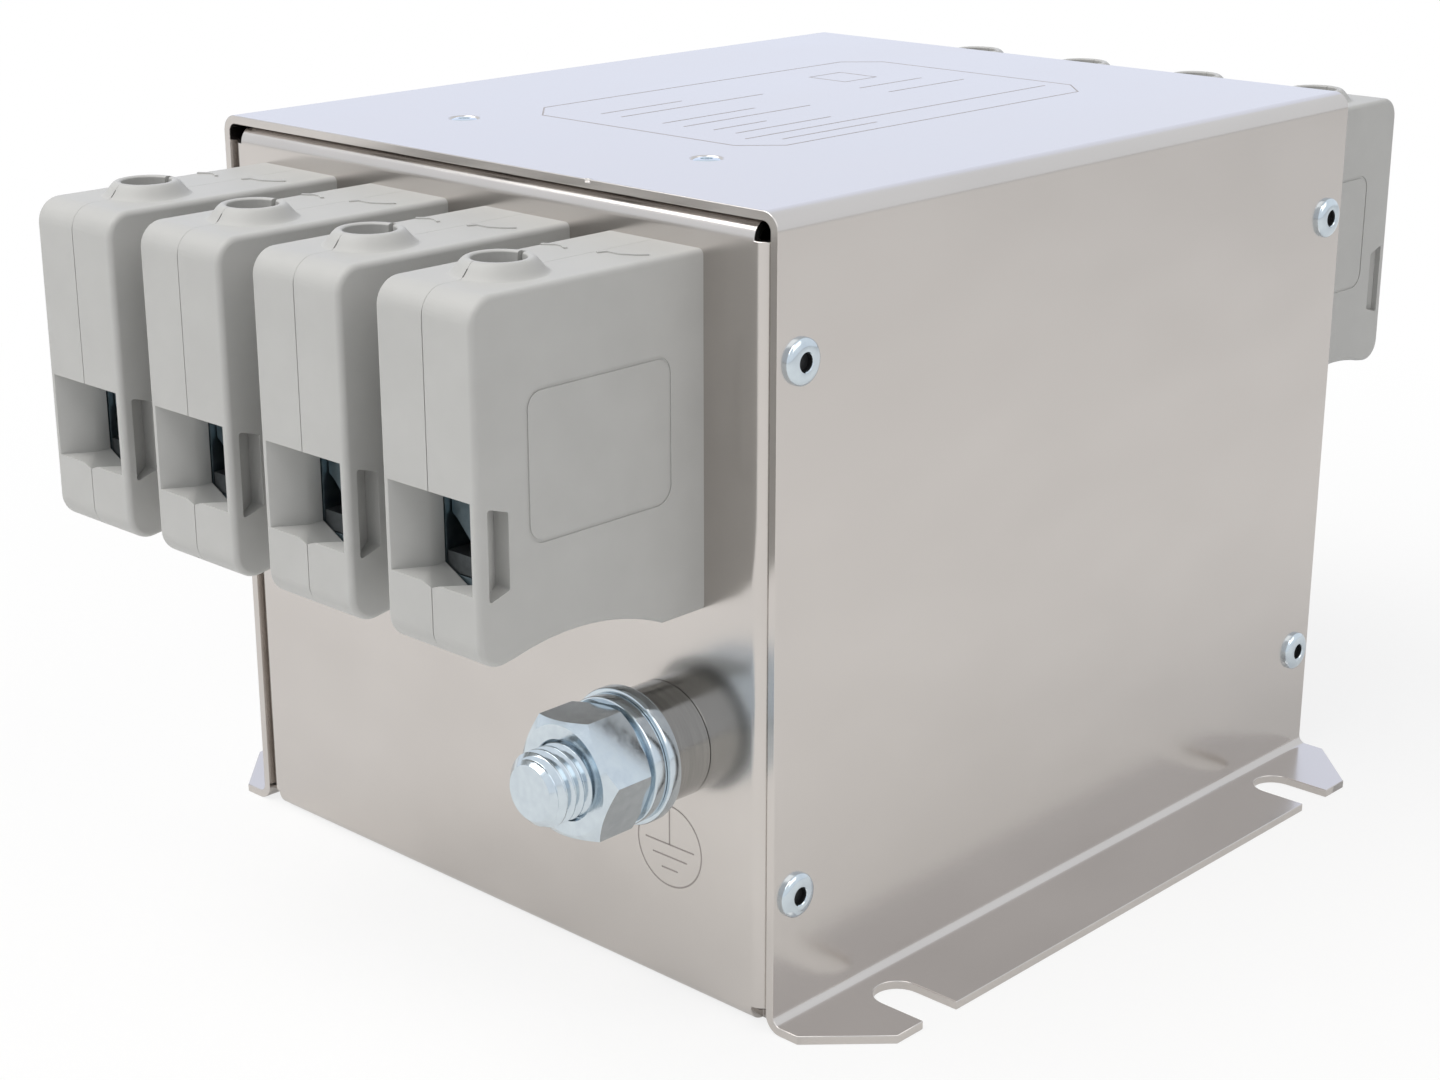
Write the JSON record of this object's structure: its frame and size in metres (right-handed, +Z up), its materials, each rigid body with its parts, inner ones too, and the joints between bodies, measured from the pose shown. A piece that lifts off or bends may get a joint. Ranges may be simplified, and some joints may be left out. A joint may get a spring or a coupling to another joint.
{
  "type": "emi line filter",
  "caption": "Boxed line filter in folded sheet metal, with clamp terminals and an earth stud at both ends.",
  "frame": {"origin": "on the mounting plane, under the middle of the case", "axes": "+X across the case, +Y from the line end (front) to the load end (rear), +Z up"},
  "size_m": [0.1626, 0.246, 0.13],
  "materials": {
    "case_sheet": "matt plated sheet steel",
    "housing": "fine-grained moulded plastic",
    "clamp_steel": "zinc-plated steel",
    "copper": "tinned or bare copper, shown bare",
    "zinc": "pale blue zinc plating",
    "dull_steel": "dull turned steel",
    "inner_sheet": "plated sheet steel",
    "core": "coated core",
    "board": "glass-fibre board",
    "insulator": "insulating sheet and spacers",
    "capacitor": "moulded capacitor case",
    "cement": "cement resistor case"
  },
  "bodies": {
    "root": {"cover": "case_sheet", "chassis": "case_sheet", "choke_cradle": "inner_sheet", "choke_hold_down": "inner_sheet", "line_choke_core": "core", "load_choke_core": "core", "capacitor_board": "board", "board_spacers": "insulator", "floor_insulation": "insulator", "x_capacitors": "capacitor", "y_capacitors": "capacitor", "bleed_resistors": "cement", "capacitor_straps": "copper", "earth_bolts": "zinc", "earth_spacers": "dull_steel", "earth_washers": "zinc", "earth_spring_washers": "zinc", "earth_nuts": "zinc", "terminal_retainers": "housing", "terminal_1_left_shells": "housing", "terminal_1_right_shells": "housing", "terminal_1_clamps": "clamp_steel", "phase_bar_1": "copper", "terminal_2_left_shells": "housing", "terminal_2_right_shells": "housing", "terminal_2_clamps": "clamp_steel", "phase_bar_2": "copper", "terminal_3_left_shells": "housing", "terminal_3_right_shells": "housing", "terminal_3_clamps": "clamp_steel", "phase_bar_3": "copper", "terminal_4_left_shells": "housing", "terminal_4_right_shells": "housing", "terminal_4_clamps": "clamp_steel", "phase_bar_4": "copper"}
  },
  "joints": []
}
